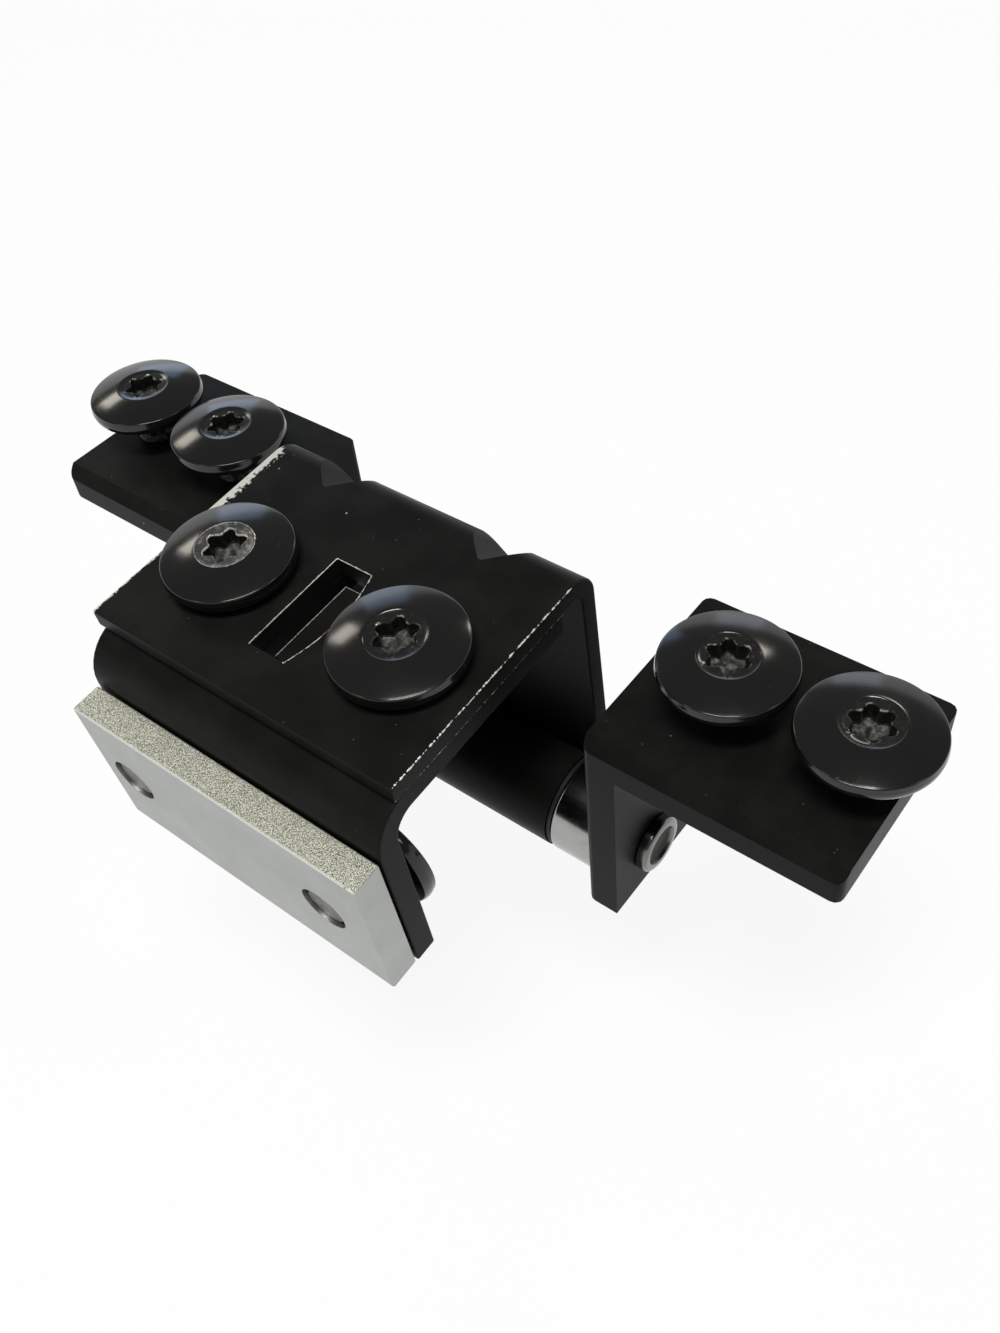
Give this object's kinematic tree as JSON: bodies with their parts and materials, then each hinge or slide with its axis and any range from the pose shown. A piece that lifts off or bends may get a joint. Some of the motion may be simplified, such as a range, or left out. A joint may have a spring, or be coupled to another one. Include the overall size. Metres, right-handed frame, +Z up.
{
  "type": "concealed door hinge",
  "caption": "Concealed pivot hinge for a profile frame: a folded centre body with a clamp plate turns on a riveted pin between two screw-down side brackets.",
  "frame": {"origin": "middle of the clamp plate's front face", "axes": "+X along the pin, +Y from the clamp plate to the rear wall, +Z up, towards the top screws"},
  "size_m": [0.1278, 0.0566, 0.0509],
  "materials": {
    "black_coat": "satin black coat on steel",
    "black_screw": "smooth black plated steel",
    "zinc": "bright zinc plated steel",
    "aluminium": "satin natural anodised, with a granular top face",
    "black_polymer": "matt black"
  },
  "bodies": {
    "leaf_clamp": {"inner_bracket": "black_coat", "clamp_plate": "aluminium", "top_screw_left": "black_screw", "top_screw_right": "black_screw", "flange_screw_left": "black_screw", "flange_screw_right": "black_screw"},
    "centre_body": {"outer_bracket": "black_coat", "knuckle_bush_left": "black_polymer", "knuckle_bush_right": "black_polymer"},
    "side_brackets": {"pivot_pin": "zinc", "spacer_left": "zinc", "spacer_right": "zinc", "side_bracket_left": "black_coat", "side_bracket_right": "black_coat", "side_screw_left_inner": "black_screw", "side_screw_left_outer": "black_screw", "side_screw_right_inner": "black_screw", "side_screw_right_outer": "black_screw"}
  },
  "joints": [
    {"name": "depth_adjust", "type": "slide", "parent": "leaf_clamp", "child": "centre_body", "axis": [0, 1, 0], "range_m": [-0.0025, 0.0025]},
    {"name": "leaf_swing", "type": "hinge", "parent": "centre_body", "child": "side_brackets", "pos_m": [0, 0.03585, -0.01865], "axis": [1, 0, 0], "range_deg": [-176, 4]}
  ]
}
